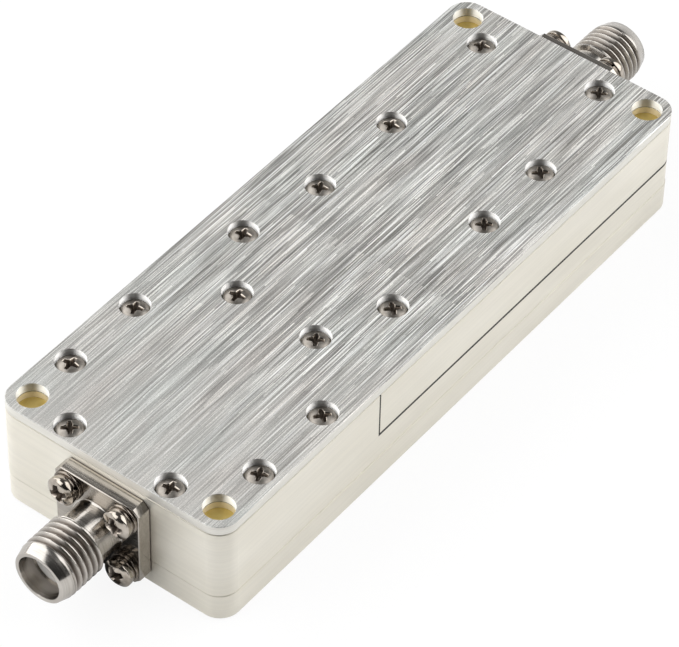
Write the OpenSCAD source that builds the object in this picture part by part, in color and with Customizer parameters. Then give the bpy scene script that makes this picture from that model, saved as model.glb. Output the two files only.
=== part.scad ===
// Coaxial filter in a split metal housing, with a threaded jack on each end.
// X runs along the signal path, Y across it, and Z up from the mounting face.
// The input end is at -X. The joint line shows on both long sides and the output end.

/* [Housing] */
// Length between the two faces that the jacks stand on
body_l = 70; // [66:1:90]
// Width across the long sides
body_w = 26; // [24:0.5:34]
// Height from the mounting face to the top of the face plate
body_h = 12.2; // [11.4:0.1:15]
// Radius of the four upright corners
corner_r = 2.1; // [1:0.1:2.6]
// Break on the lower edge of the housing and the upper edge of the face plate
edge_break = 0.2; // [0.1:0.05:0.4]
// Break on the upper edge of the housing, under the face plate
deck_break = 0.12; // [0.05:0.01:0.2]
// Height of the band that was milled from the mounting face
band_h = 3.1; // [2:0.1:4]
// Step where that band meets the walls that were milled from above
band_step = 0.07; // [0.03:0.01:0.12]
// Thickness of the floor under the circuit cavities
floor_t = 1.6; // [1:0.1:2.4]
// Thickness of the roof over the output cavity
roof_t = 1.2; // [0.8:0.1:2]
// Thickness of the end walls that the jacks pass through
end_wall_t = 4; // [3.6:0.1:5]

/* [Parting joint] */
// Length of the section at the input end that has a cover of its own
near_l = 22.5; // [20:0.5:28]
// Height of the level joint above the mounting face
split_z = 5.8; // [5:0.1:6.5]
// Thickness of the gasket in the level joint
gasket_t = 0.3; // [0.2:0.05:0.4]
// Thickness of the gasket in the upright joint
gasket_leg_t = 0.2; // [0.1:0.05:0.3]
// Thickness of the cover over the input cavity
cover_t = 1.2; // [1:0.05:1.25]
// Thickness of the brushed face plate
plate_t = 1.05; // [0.8:0.05:1.15]

/* [Lid screws] */
// Outer diameter of the screw threads
screw_d = 1.6; // [1.4:0.1:1.8]
// Diameter of the lid screw heads
head_d = 2.6; // [2.4:0.05:2.8]
// Height of the straight edge of a lid screw head
head_edge_h = 0.97; // [0.6:0.01:1.1]
// Height of the dome on a lid screw head
head_dome_h = 0.36; // [0.2:0.02:0.5]
// Diameter of the holes that the heads and the corner inserts sit in
pocket_d = 3; // [2.9:0.05:3.2]
// Depth of those holes below the top of the face plate
pocket_depth = 1.75; // [1.4:0.05:1.8]
// Reach of the short screws below the input cover
cover_reach = 4.5; // [3:0.25:5]
// Reach of the long screws below the level joint
block_reach = 3.3; // [2.5:0.1:3.5]

/* [Screw layout] */
// Inset of the two end screws from the input end
end_inset = 1.7; // [1.6:0.1:2.4]
// Distance of the two end screws from the centre line
end_screw_y = 5.75; // [5.4:0.05:6.5]
// Inset of the rim screws from the long sides
rim_inset = 2.2; // [1.9:0.1:2.6]
// Distance of the first rim screws from the input end
rim_first_x = 7.75; // [6:0.25:9]
// Distance of the second rim screws from the input end
rim_second_x = 16.75; // [14:0.25:18]
// Distance of the two joint screws past the upright joint
joint_screw_x = 1.3; // [1.2:0.1:2]
// Distance of the two joint screws from the centre line
joint_screw_y = 4.55; // [4:0.05:5.5]
// Distance of the left row of long screws from the centre line
left_row_y = 7.4; // [7:0.1:8.5]
// Distance of the right row of long screws from the centre line
right_row_y = 7.6; // [7:0.1:8.5]
// Distance of the outermost long screw from the centre line
outer_screw_y = 9.1; // [8.6:0.1:9.5]
// Distance of the last long screw from the centre line
last_screw_y = 5.5; // [5.2:0.1:6.5]

/* [Corner inserts] */
// Inset of the inserts from the end faces
insert_inset_x = 2.35; // [2.2:0.05:2.8]
// Inset of the inserts from the long sides
insert_inset_y = 2.35; // [2.2:0.05:2.8]
// Core diameter of the tapped holes in the inserts
tap_d = 1.6; // [1.4:0.05:2]
// Depth of the tapped holes from the mounting face
tap_depth = 6; // [4:0.5:8]

/* [Jacks] */
// Height of the input jack above the mounting face
input_axis_z = 5.8; // [5:0.1:5.9]
// Side of the square flange
flange_w = 9.53; // [9.2:0.01:9.9]
// Thickness of the flange
flange_t = 1.57; // [1.3:0.01:1.8]
// Cut across each corner of the flange
flange_cut = 0.65; // [0.3:0.05:1]
// Side of the square that the flange screws stand on
flange_pitch = 6.35; // [6.2:0.05:6.5]
// Reach from the mounting face to the mouth
jack_l = 9.53; // [9.2:0.01:10.5]
// Diameter of the neck between flange and thread
neck_d = 5.3; // [5:0.1:5.5]
// Outer diameter of the thread
thread_d = 6.2; // [6:0.05:6.4]
// Distance between two turns of the thread
thread_pitch = 0.7056; // [0.6:0.01:0.8]
// Length of the threaded part
thread_l = 3.6; // [3:0.1:4]
// Length of the plain lead in front of the thread
lead_l = 1.53; // [1.2:0.01:1.8]
// Outer diameter of the mouth
mouth_outer_d = 5.4; // [5.1:0.05:5.8]
// Inner diameter of the mouth
mouth_d = 4.6; // [4.4:0.05:4.8]
// Depth of the mouth down to the dielectric
mouth_depth = 1.9; // [1.5:0.05:2.2]
// Diameter of the dielectric
dielectric_d = 4.1; // [3.8:0.05:4.2]
// Diameter of the centre contact
contact_d = 1.27; // [1.2:0.01:1.4]
// Diameter of the socket in the contact
socket_d = 0.94; // [0.85:0.01:1]
// Length of the contact that lies on the circuit line
tail_l = 1.2; // [0.8:0.1:1.6]

/* [Flange screws] */
// Diameter of the flange screw heads
flange_head_d = 2.95; // [2.7:0.05:3]
// Height of the straight edge of a flange screw head
flange_head_edge_h = 0.5; // [0.3:0.05:0.7]
// Height of the dome on a flange screw head
flange_head_dome_h = 0.48; // [0.3:0.02:0.6]
// Depth of the flange screws in the end walls
flange_screw_reach = 3; // [2.5:0.1:3.2]
// Diameter of the flat washers
flat_washer_d = 3.1; // [2.8:0.05:3.1]
// Thickness of the flat washers
flat_washer_t = 0.3; // [0.2:0.05:0.4]
// Diameter of the split lock washers
lock_washer_d = 2.8; // [2.6:0.05:2.9]
// Thickness of the split lock washers
lock_washer_t = 0.4; // [0.3:0.05:0.5]

/* [Circuit] */
// Thickness of the two boards
board_t = 0.25; // [0.2:0.01:0.3]
// Thickness of the printed lines
line_t = 0.05; // [0.03:0.01:0.06]
// Width of the printed lines
line_w = 1.2; // [0.8:0.1:1.4]
// Width of the input board
input_board_w = 7; // [6:0.5:12]
// Room beside the input board
input_board_margin = 0.9; // [0.3:0.1:1.2]
// Width of the output board
output_board_w = 10; // [9:0.5:10.5]
// Width of the ledges that carry the board edges
ledge_w = 1; // [0.6:0.1:1.2]
// Length of the wide patches on the input line
input_patch_l = 2; // [1:0.2:3]
// Width of the wide patches on the input line
input_patch_w = 4.6; // [2:0.2:5]
// Length of the wide patches on the output line
output_patch_l = 3.2; // [1:0.2:4]
// Width of the wide patches on the output line
output_patch_w = 5.6; // [2:0.2:7]
// Depth of the output board's bed below the level joint
board_recess = 0.365; // [0.31:0.005:0.4]
// Width of the strap between the boards
strap_w = 1; // [0.6:0.1:1.2]
// Thickness of the strap between the boards
strap_t = 0.1; // [0.05:0.01:0.15]

/* [Hidden] */
$fn = 72;

// Clearances round pins and threads, in the flange and washer holes, round boards and under contacts
fit_gap = 0.02;
flange_hole_play = 0.06;
washer_play = 0.04;
board_play = 0.1;
line_setback = 0.2;
solder_gap = 0.03;
// Overshoot of a cut
over = 1;

// Levels
deck_z = body_h - plate_t;
near_top_z = deck_z - cover_t;
pocket_z = body_h - pocket_depth;
block_z = split_z + gasket_t;
roof_z = deck_z - roof_t;
output_bed_z = split_z - board_recess;
output_line_z = output_bed_z + board_t + line_t;
output_axis_z = output_line_z + solder_gap + contact_d / 2;
input_line_z = input_axis_z - contact_d / 2 - solder_gap;
input_bed_z = input_line_z - line_t - board_t;

// Places along the signal path
input_x = -body_l / 2;
output_x = body_l / 2;
joint_x = input_x + near_l;
near_end_x = joint_x - gasket_leg_t / 2;
block_start_x = joint_x + gasket_leg_t / 2;
inner_input_x = input_x + end_wall_t;
inner_output_x = output_x - end_wall_t;
partition_t = 1.2;
input_patch_count = 3;
output_patch_count = 6;
partition_x = near_end_x - partition_t;
screw_web = 1.1;
output_cavity_x = joint_x + joint_screw_x + screw_d / 2 + screw_web;

// Cavities and the channel between them
input_cavity_w = input_board_w + 2 * input_board_margin;
input_channel_w = input_board_w - 2 * ledge_w;
output_channel_w = output_board_w - 2 * ledge_w;
strap_play = 0.8;
channel_w = strap_w + 2 * strap_play;
channel_top_z = output_line_z + strap_t + strap_play;
channel_floor_z = input_line_z - strap_play;

// Places of the long screws: those near the joint count from it, the others from the output end
left_from_joint = 17.3;
left_from_end = [19.1, 4.5];
right_from_joint = [8.8, 22.9];
right_from_end = 15.6;
outer_from_joint = 7.9;
last_from_end = 2.95;

cover_screw_places = [
    for (side = [-1, 1]) [input_x + end_inset, side * end_screw_y],
    for (side = [-1, 1], x = [rim_first_x, rim_second_x]) [input_x + x, side * (body_w / 2 - rim_inset)]];
block_screw_places = [
    for (side = [-1, 1]) [joint_x + joint_screw_x, side * joint_screw_y],
    [joint_x + outer_from_joint, outer_screw_y],
    [joint_x + left_from_joint, left_row_y],
    for (d = left_from_end) [output_x - d, left_row_y],
    for (d = right_from_joint) [joint_x + d, -right_row_y],
    [output_x - right_from_end, -right_row_y],
    [output_x - last_from_end, -last_screw_y]];
insert_places = [for (sx = [-1, 1], sy = [-1, 1])
    [sx * (body_l / 2 - insert_inset_x), sy * (body_w / 2 - insert_inset_y)]];

// Screw recess, as a cross with a pointed middle
recess_w = 0.32;
recess_l = 1.7;
recess_depth = 0.7;
recess_cone_d = 0.96;

// Jack stations, measured outwards from the mounting face
mouth_z = jack_l;
thread_end_z = jack_l - lead_l;
thread_start_z = thread_end_z - thread_l;
dielectric_end_z = jack_l - mouth_depth;
groove_w = 0.56;
groove_root_w = 0.1;
groove_depth = 0.38;
last_land = 0.3;
back_chamfer = 0.14;
lead_taper = 0.06;
cone_l = 0.7 * lead_l;
saddle_d = 1.5 * contact_d;
groove_count = floor((thread_l - last_land) / thread_pitch) + 1;
washers_t = flat_washer_t + lock_washer_t;

module at(places, z) {
    for (p = places) translate([p[0], p[1], z]) children();
}

// Stands a child that points up +Z on the input or output face, pointing outwards
module on_input() {
    translate([input_x, 0, input_axis_z]) rotate([0, -90, 0]) children();
}

module on_output() {
    translate([output_x, 0, output_axis_z]) rotate([0, 90, 0]) children();
}

// Rounded block from the mounting face up to a level, with a break on its upper edge.
// The two millings that shaped the walls lie apart by the step, one towards each long side.
module milled_form(h, upper_break, side) {
    c = edge_break;
    b = upper_break;
    w = body_w - band_step;
    function outline(half) = [[-half, c], [c - half, 0], [half - c, 0], [half, c],
        [half, h - b], [half - b, h], [b - half, h], [-half, h - b]];
    translate([0, side * band_step / 2, 0]) {
        rotate([90, 0, 0]) linear_extrude(w - 2 * corner_r, center = true) polygon(outline(body_l / 2));
        rotate([90, 0, 90]) linear_extrude(body_l - 2 * corner_r, center = true) polygon(outline(w / 2));
        for (sx = [-1, 1], sy = [-1, 1])
            translate([sx * (body_l / 2 - corner_r), sy * (w / 2 - corner_r), 0])
                rotate_extrude() polygon([[0, 0], [corner_r - c, 0], [corner_r, c],
                    [corner_r, h - b], [corner_r - b, h], [0, h]]);
    }
}

// The outer form that the housing, the cover, the block and the gasket are cut from
module envelope() {
    milled_form(band_h, band_step, -1);
    intersection() {
        milled_form(deck_z, deck_break, 1);
        channel(input_x - over, output_x + over, body_w + over, band_h, body_h);
    }
}

// Box from one X to another, centred across, between two levels
module channel(x0, x1, w, z0, z1) {
    translate([x0, -w / 2, z0]) cube([x1 - x0, w, z1 - z0]);
}

// Everything that is drilled from above, down to a given depth for each set
module screw_bores(cover_z, block_z) {
    at(cover_screw_places, cover_z) cylinder(d = screw_d + 2 * fit_gap, h = body_h);
    at(block_screw_places, block_z) cylinder(d = screw_d + 2 * fit_gap, h = body_h);
}

module pockets() {
    at(cover_screw_places, pocket_z) cylinder(d = pocket_d, h = body_h);
    at(block_screw_places, pocket_z) cylinder(d = pocket_d, h = body_h);
}

module insert_bores() {
    at(insert_places, -over) cylinder(d = pocket_d, h = body_h + 2 * over);
}

// Bore for the dielectric and the four tapped holes of one jack, pointing inwards
module jack_bores() {
    translate([0, 0, -end_wall_t - over])
        cylinder(d = dielectric_d + 2 * fit_gap, h = end_wall_t + 2 * over);
    flange_corners() translate([0, 0, -flange_screw_reach - fit_gap])
        cylinder(d = screw_d + 2 * fit_gap, h = flange_screw_reach + over);
}

module flange_corners() {
    for (sx = [-1, 1], sy = [-1, 1]) translate([sx, sy, 0] * flange_pitch / 2) children();
}

// Slot through both walls of the upright joint for the strap between the boards
module strap_slot() {
    channel(partition_x - over, output_cavity_x + over, channel_w, channel_floor_z, channel_top_z);
}

module lower_housing() {
    color("gainsboro") difference() {
        intersection() {
            envelope();
            union() {
                channel(input_x - over, output_x + over, body_w + over, -over, split_z);
                channel(input_x - over, near_end_x, body_w + over, -over, near_top_z);
            }
        }
        // Input cavity with its board ledge
        channel(inner_input_x, partition_x, input_channel_w, floor_t, near_top_z + over);
        channel(inner_input_x, partition_x, input_cavity_w, input_bed_z, near_top_z + over);
        // Output cavity with the bed of the board
        channel(output_cavity_x, inner_output_x, output_channel_w, floor_t, split_z + over);
        channel(output_cavity_x, inner_output_x, output_board_w + 2 * board_play,
            output_bed_z, split_z + over);
        strap_slot();
        screw_bores(near_top_z - cover_reach - fit_gap, split_z - block_reach - fit_gap);
        insert_bores();
        on_input() jack_bores();
        on_output() jack_bores();
    }
}

module near_cover() {
    color("gainsboro") difference() {
        intersection() {
            envelope();
            channel(input_x - over, near_end_x, body_w + over, near_top_z, deck_z);
        }
        screw_bores(near_top_z - over, near_top_z - over);
        pockets();
        insert_bores();
        on_input() jack_bores();
    }
}

module upper_block() {
    color("gainsboro") difference() {
        union() {
            intersection() {
                envelope();
                channel(block_start_x, output_x + over, body_w + over, block_z, deck_z);
            }
            // Lips that press the board edges into their bed
            channel(output_cavity_x, inner_output_x, output_board_w,
                output_bed_z + board_t, block_z + over);
        }
        channel(output_cavity_x, inner_output_x, output_channel_w, split_z - over, roof_z);
        strap_slot();
        screw_bores(split_z - over, split_z - over);
        pockets();
        insert_bores();
        on_output() jack_bores();
    }
}

module face_plate() {
    color("silver") difference() {
        intersection() {
            milled_form(body_h, edge_break, 1);
            channel(input_x - over, output_x + over, body_w + over, deck_z, body_h + over);
        }
        pockets();
        insert_bores();
    }
}

// Level sheet with an upright leg: the dark line on the sides of the housing
module joint_gasket() {
    color("#202020") difference() {
        intersection() {
            envelope();
            union() {
                channel(near_end_x, output_x + over, body_w + over, split_z, block_z);
                channel(near_end_x, block_start_x, body_w + over, split_z, deck_z);
            }
        }
        channel(output_cavity_x, inner_output_x, output_board_w + 2 * board_play,
            split_z - over, block_z + over);
        strap_slot();
        screw_bores(split_z - over, split_z - over);
        pockets();
        insert_bores();
        on_output() jack_bores();
    }
}

// Domed head with a cross recess, on a plain shank that hangs below z = 0
module domed_screw(d, edge_h, dome_h, reach) {
    r = d / 2;
    dome_r = (r * r + dome_h * dome_h) / (2 * dome_h);
    top = edge_h + dome_h;
    difference() {
        union() {
            intersection() {
                cylinder(r = r, h = top + over);
                translate([0, 0, top - dome_r]) sphere(dome_r);
                cylinder(r = dome_r, h = top + over);
            }
            translate([0, 0, -reach]) cylinder(d = screw_d, h = reach + edge_h / 2);
        }
        for (turn = [0, 90]) rotate(turn) translate([-recess_l / 2, -recess_w / 2, top - recess_depth])
            cube([recess_l, recess_w, recess_depth + over]);
        translate([0, 0, top - recess_depth]) cylinder(d1 = recess_w, d2 = recess_cone_d, h = recess_depth);
    }
}

module cover_screws() {
    color("lightsteelblue") at(cover_screw_places, pocket_z)
        domed_screw(head_d, head_edge_h, head_dome_h, pocket_z - near_top_z + cover_reach);
}

module block_screws() {
    color("lightsteelblue") at(block_screw_places, pocket_z)
        domed_screw(head_d, head_edge_h, head_dome_h, pocket_z - split_z + block_reach);
}

// Closed pillars that show at the bottom of the corner holes and are tapped from below
module corner_inserts() {
    color("darkkhaki") at(insert_places, 0) difference() {
        cylinder(d = pocket_d - 2 * fit_gap, h = pocket_z);
        translate([0, 0, -over]) cylinder(d = tap_d, h = tap_depth + over);
    }
}

module board(x0, x1, w, z) {
    channel(x0 + board_play, x1 - board_play, w, z, z + board_t);
}

// Narrow line with wide patches along it: the steps that make the filter
module stepped_line(x0, x1, z, patch_count, patch_l, patch_w) {
    start = x0 + line_setback;
    end = x1 - line_setback;
    pitch = (end - start) / (patch_count + 1);
    translate([0, 0, z]) linear_extrude(line_t) {
        translate([start, -line_w / 2]) square([end - start, line_w]);
        for (i = [1:patch_count]) translate([start + i * pitch, 0])
            square([patch_l, patch_w], center = true);
    }
}

module input_board() {
    color("seagreen") board(inner_input_x, partition_x, input_board_w, input_bed_z);
}

module output_board() {
    color("seagreen") board(output_cavity_x, inner_output_x, output_board_w, output_bed_z);
}

module input_line() {
    color("goldenrod") stepped_line(inner_input_x, partition_x,
        input_bed_z + board_t, input_patch_count, input_patch_l, input_patch_w);
}

module output_line() {
    color("goldenrod") stepped_line(output_cavity_x, inner_output_x,
        output_bed_z + board_t, output_patch_count, output_patch_l, output_patch_w);
}

// Bent strap that climbs from the input line to the output line through the slot
module board_strap() {
    foot_l = 1;
    x0 = partition_x - foot_l;
    x3 = output_cavity_x + foot_l;
    x1 = near_end_x;
    x2 = block_start_x + foot_l;
    color("goldenrod") rotate([90, 0, 0]) linear_extrude(strap_w, center = true)
        polygon([[x0, input_line_z], [x1, input_line_z], [x2, output_line_z], [x3, output_line_z],
            [x3, output_line_z + strap_t], [x2, output_line_z + strap_t],
            [x1, input_line_z + strap_t], [x0, input_line_z + strap_t]]);
}

// Radius and height of each corner of the V grooves, from the mouth backwards
function groove_points(i) = let (z = thread_end_z - i * thread_pitch, r = thread_d / 2) [
    [r, z + groove_w / 2], [r - groove_depth, z + groove_root_w / 2],
    [r - groove_depth, z - groove_root_w / 2], [r, z - groove_w / 2]];

module jack_shell() {
    r = thread_d / 2;
    lead_r = r - lead_taper;
    mouth_r = mouth_outer_d / 2;
    grooves = [for (i = [1:groove_count - 1], p = groove_points(i)) p];
    color("gainsboro") difference() {
        union() {
            rotate_extrude() polygon(concat(
                [[0, 0], [0, mouth_z], [mouth_r, mouth_z], [lead_r, mouth_z - cone_l],
                    [lead_r, thread_end_z + groove_w / 2],
                    [r - groove_depth, thread_end_z + groove_root_w / 2],
                    [r - groove_depth, thread_end_z - groove_root_w / 2],
                    [r, thread_end_z - groove_w / 2]],
                grooves,
                [[r, thread_start_z + back_chamfer], [neck_d / 2, thread_start_z], [neck_d / 2, 0]]));
            linear_extrude(flange_t) difference() {
                square(flange_w, center = true);
                for (turn = [0:90:270]) rotate(turn + 45)
                    translate([(flange_w - flange_cut) / sqrt(2), -flange_w / 2]) square(flange_w);
            }
        }
        translate([0, 0, -over]) cylinder(d = dielectric_d + 2 * fit_gap, h = jack_l);
        translate([0, 0, dielectric_end_z]) cylinder(d = mouth_d, h = mouth_depth + over);
        flange_corners() translate([0, 0, -over])
            cylinder(d = screw_d + 2 * flange_hole_play, h = flange_t + 2 * over);
    }
}

module dielectric() {
    color("white") difference() {
        translate([0, 0, -end_wall_t]) cylinder(d = dielectric_d, h = end_wall_t + dielectric_end_z);
        translate([0, 0, -end_wall_t - over])
            cylinder(d = contact_d + 2 * fit_gap, h = end_wall_t + jack_l + over);
    }
}

// Centre contact with a slotted socket in front and a tail behind
module contact() {
    socket_l = 3;
    slot_l = 2.2;
    slot_w = 0.16;
    front = dielectric_end_z - board_play;
    color("gold") difference() {
        translate([0, 0, -end_wall_t - tail_l]) cylinder(d = contact_d, h = end_wall_t + tail_l + front);
        translate([0, 0, front - socket_l]) cylinder(d = socket_d, h = socket_l + over);
        for (turn = [0, 90]) rotate(turn) translate([-contact_d, -slot_w / 2, front - slot_l])
            cube([2 * contact_d, slot_w, slot_l + over]);
    }
}

// Solder saddle round the tail, lying on the line below it
module solder(line_z, axis_z, inward) {
    saddle_l = tail_l - line_setback - board_play;
    color("darkgray") difference() {
        intersection() {
            translate([inward * (line_setback + saddle_l / 2), 0, 0]) rotate([0, 90, 0])
                cylinder(d = saddle_d, h = saddle_l, center = true);
            translate([-body_l, -saddle_d, line_z - axis_z])
                cube([2 * body_l, 2 * saddle_d, axis_z - line_z]);
        }
        rotate([0, 90, 0]) cylinder(d = contact_d, h = 4 * body_l, center = true);
    }
}

module flange_screw_set() {
    color("silver") flange_corners() translate([0, 0, flange_t + washers_t])
        domed_screw(flange_head_d, flange_head_edge_h, flange_head_dome_h,
            flange_t + washers_t + flange_screw_reach);
}

module lock_washer_set() {
    split = 0.3;
    lean = 25;
    color("dimgray") flange_corners() translate([0, 0, flange_t + flat_washer_t]) difference() {
        cylinder(d = lock_washer_d, h = lock_washer_t);
        translate([0, 0, -over]) cylinder(d = screw_d + 2 * washer_play, h = lock_washer_t + 2 * over);
        rotate([lean, 0, 0]) translate([0, -split / 2, -over]) cube([lock_washer_d, split, 3 * over]);
    }
}

module flat_washer_set() {
    color("silver") flange_corners() translate([0, 0, flange_t]) difference() {
        cylinder(d = flat_washer_d, h = flat_washer_t);
        translate([0, 0, -over]) cylinder(d = screw_d + 2 * washer_play, h = flat_washer_t + 2 * over);
    }
}

lower_housing();
near_cover();
upper_block();
face_plate();
joint_gasket();
cover_screws();
block_screws();
corner_inserts();
input_board();
input_line();
output_board();
output_line();
board_strap();
on_input() jack_shell();  // input_jack_shell
on_input() dielectric();  // input_dielectric
on_input() contact();  // input_contact
translate([inner_input_x, 0, input_axis_z]) solder(input_line_z, input_axis_z, 1);  // input_solder
on_input() flange_screw_set();  // input_screws
on_input() lock_washer_set();  // input_lock_washers
on_input() flat_washer_set();  // input_flat_washers
on_output() jack_shell();  // output_jack_shell
on_output() dielectric();  // output_dielectric
on_output() contact();  // output_contact
translate([inner_output_x, 0, output_axis_z]) solder(output_line_z, output_axis_z, -1);  // output_solder
on_output() flange_screw_set();  // output_screws
on_output() lock_washer_set();  // output_lock_washers
on_output() flat_washer_set();  // output_flat_washers
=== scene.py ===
import math
import bmesh
import bpy
from mathutils import Matrix, Vector, geometry


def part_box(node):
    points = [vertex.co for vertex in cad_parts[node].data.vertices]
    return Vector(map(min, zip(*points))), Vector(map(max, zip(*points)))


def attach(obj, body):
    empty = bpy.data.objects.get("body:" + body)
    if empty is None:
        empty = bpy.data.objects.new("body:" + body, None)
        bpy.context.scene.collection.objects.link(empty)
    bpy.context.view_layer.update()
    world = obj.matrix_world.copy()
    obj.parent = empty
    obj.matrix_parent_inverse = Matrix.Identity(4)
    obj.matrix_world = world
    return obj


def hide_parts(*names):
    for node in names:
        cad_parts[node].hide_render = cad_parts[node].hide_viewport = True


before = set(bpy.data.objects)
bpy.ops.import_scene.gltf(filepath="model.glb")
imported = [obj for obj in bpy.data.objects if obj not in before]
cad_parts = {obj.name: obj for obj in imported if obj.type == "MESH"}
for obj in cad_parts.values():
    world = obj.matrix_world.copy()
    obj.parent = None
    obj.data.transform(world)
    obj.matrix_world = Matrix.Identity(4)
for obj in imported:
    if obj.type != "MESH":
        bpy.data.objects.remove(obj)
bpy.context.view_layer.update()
MM = 0.001

# Camera. A long lens looks down on the input end from the front right.
# Its place and its axes are those from which the filter was photographed.
camera_place = Vector((-0.209368, -0.154743, 0.266190))
camera_right = Vector((0.610755, -0.791641, 0.016843))
camera_up = Vector((0.556677, 0.444411, 0.701862))
camera_data = bpy.data.cameras.new("camera")
camera_data.sensor_width = 36
camera_data.lens = 208.86
camera_data.clip_start = 0.01
camera_data.clip_end = 10
camera = bpy.data.objects.new("camera", camera_data)
camera_axes = Matrix((camera_right, camera_up, camera_right.cross(camera_up))).transposed()
camera.matrix_world = Matrix.Translation(camera_place) @ camera_axes.to_4x4()
bpy.context.scene.collection.objects.link(camera)
bpy.context.scene.camera = camera
bpy.context.scene.view_settings.view_transform = "Standard"


# Studio. A white sweep under the filter, a soft box on each side of the camera and a room round it.
# The camera sees the sweep and the room as white. Metal mirrors both of them dimmer.
def new_object(name, mesh):
    made = bpy.data.objects.new(name, mesh)
    bpy.context.scene.collection.objects.link(made)
    return made


sweep_size = 1.2
sweep_drop = 0.05 * MM
half = sweep_size / 2
sweep_mesh = bpy.data.meshes.new("sweep")
sweep_mesh.from_pydata([(-half, -half, -sweep_drop), (half, -half, -sweep_drop),
                        (half, half, -sweep_drop), (-half, half, -sweep_drop)], [], [(0, 1, 2, 3)])
sweep = new_object("sweep", sweep_mesh)


def new_material(name):
    material = bpy.data.materials.new(name)
    material.use_nodes = True
    tree = material.node_tree
    return material, tree, tree.nodes["Principled BSDF"]


def feed(tree, node, values):
    """Gives inputs of a node, by name or number, their links or plain values."""
    for label, value in values.items():
        if hasattr(value, "links"):
            tree.links.new(value, node.inputs[label])
        else:
            node.inputs[label].default_value = value


sweep_paper, tree, shader = new_material("sweep_paper")
feed(tree, shader, {"Base Color": (0.95, 0.95, 0.95, 1), "Roughness": 0.9, "Specular IOR Level": 0})


def math_node(tree, operation, *values):
    made = tree.nodes.new("ShaderNodeMath")
    made.operation = operation
    feed(tree, made, dict(enumerate(values)))
    return made.outputs[0]


def backdrop_share(tree, to_camera, to_metal):
    """How much of the backdrop's own white a camera ray, or a glossy or transmission ray, sees."""
    path = tree.nodes.new("ShaderNodeLightPath")
    total = 0
    for ray, share in (("Is Camera Ray", to_camera), ("Is Glossy Ray", to_metal),
                       ("Is Transmission Ray", to_metal)):
        total = math_node(tree, "MULTIPLY_ADD", path.outputs[ray], share, total)
    return total


def emission(tree, strength):
    made = tree.nodes.new("ShaderNodeEmission")
    made.inputs["Strength"].default_value = strength
    return made


def shaders_mixed(tree, factor, first, second):
    made = tree.nodes.new("ShaderNodeMixShader")
    feed(tree, made, {0: factor, 1: first.outputs[0], 2: second.outputs[0]})
    return made


glow_to_camera = 0.9
glow_to_metal = 0.3
lit_paper = shaders_mixed(tree, backdrop_share(tree, glow_to_camera, glow_to_metal),
                          shader, emission(tree, strength=1))


def vector_node(tree, operation, *values):
    made = tree.nodes.new("ShaderNodeVectorMath")
    made.operation = operation
    feed(tree, made, dict(enumerate(values)))
    return made.outputs["Value" if operation in ("LENGTH", "DOT_PRODUCT") else "Vector"]


def object_place(tree):
    return tree.nodes.new("ShaderNodeTexCoord").outputs["Object"]


# The paper is in deep shade under the neck of the input jack. The object was cut out of its
# picture, so only its metal still shows that shade.
shade_centre = (-0.0400, 0.0014, 0)
shade_reach = (0.0074, 0.0046, 1)
shade_turn = math.radians(-123)
shade_core = 0.45
shade_depth = 0.97
along_shade = tree.nodes.new("ShaderNodeVectorRotate")
along_shade.rotation_type = "Z_AXIS"
feed(tree, along_shade, {"Vector": object_place(tree), "Center": shade_centre, "Angle": shade_turn})
from_centre = vector_node(tree, "SUBTRACT", along_shade.outputs[0], shade_centre)
how_far = vector_node(tree, "LENGTH", vector_node(tree, "DIVIDE", from_centre, shade_reach))
fall = tree.nodes.new("ShaderNodeMapRange")
fall.interpolation_type = "SMOOTHSTEP"
feed(tree, fall, {"Value": how_far, "From Min": 1.0, "From Max": shade_core, "To Max": shade_depth})
to_metal_only = math_node(tree, "MULTIPLY", fall.outputs[0], backdrop_share(tree, 0, 1))
paper = shaders_mixed(tree, to_metal_only, lit_paper, emission(tree, strength=0))
tree.links.new(paper.outputs[0], tree.nodes["Material Output"].inputs["Surface"])
sweep_mesh.materials.append(sweep_paper)


def spread(tree, value, low, high):
    """Stretches the part of a value between low and high to 0 to 1."""
    made = tree.nodes.new("ShaderNodeMapRange")
    feed(tree, made, {"Value": value, "From Min": low, "From Max": high})
    return made.outputs[0]


def mixed(tree, factor, first, second, kind="RGBA", blend="MIX"):
    """Mixes two colours, or two numbers where kind is FLOAT, from sockets or plain values."""
    made = tree.nodes.new("ShaderNodeMix")
    made.data_type = kind
    made.blend_type = blend
    feed(tree, made, {"Factor": factor, "A": first, "B": second})
    return made.outputs["Result"]


# The room is light low down, darker overhead, and unlit behind the camera
world = bpy.data.worlds.new("room")
bpy.context.scene.world = world
world.use_nodes = True
tree = world.node_tree
room_light = (0.3, 0.3, 0.3, 1)
unlit_wall = (0.03, 0.03, 0.03, 1)
to_unlit_wall = (-0.8, -0.6, 0)
ray = tree.nodes.new("ShaderNodeTexCoord").outputs["Generated"]
rise = tree.nodes.new("ShaderNodeSeparateXYZ")
tree.links.new(ray, rise.inputs[0])
room = tree.nodes.new("ShaderNodeValToRGB")
tones = ((0.02, 1.0), (0.2, 0.8), (0.45, 0.25), (1.0, 0.12))
ramp = room.color_ramp.elements
for step, (height, tone) in enumerate(tones):
    mark = ramp[step] if step < len(ramp) else ramp.new(height)
    mark.position = height
    mark.color = (tone, tone, tone, 1)
tree.links.new(rise.outputs["Z"], room.inputs[0])
unlit = spread(tree, vector_node(tree, "DOT_PRODUCT", ray, to_unlit_wall), low=0.35, high=0.6)
mirrored = mixed(tree, unlit, room.outputs[0], unlit_wall)
seen = mixed(tree, backdrop_share(tree, 1, 1), room_light, mirrored)
tree.links.new(seen, tree.nodes["Background"].inputs["Color"])


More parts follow.
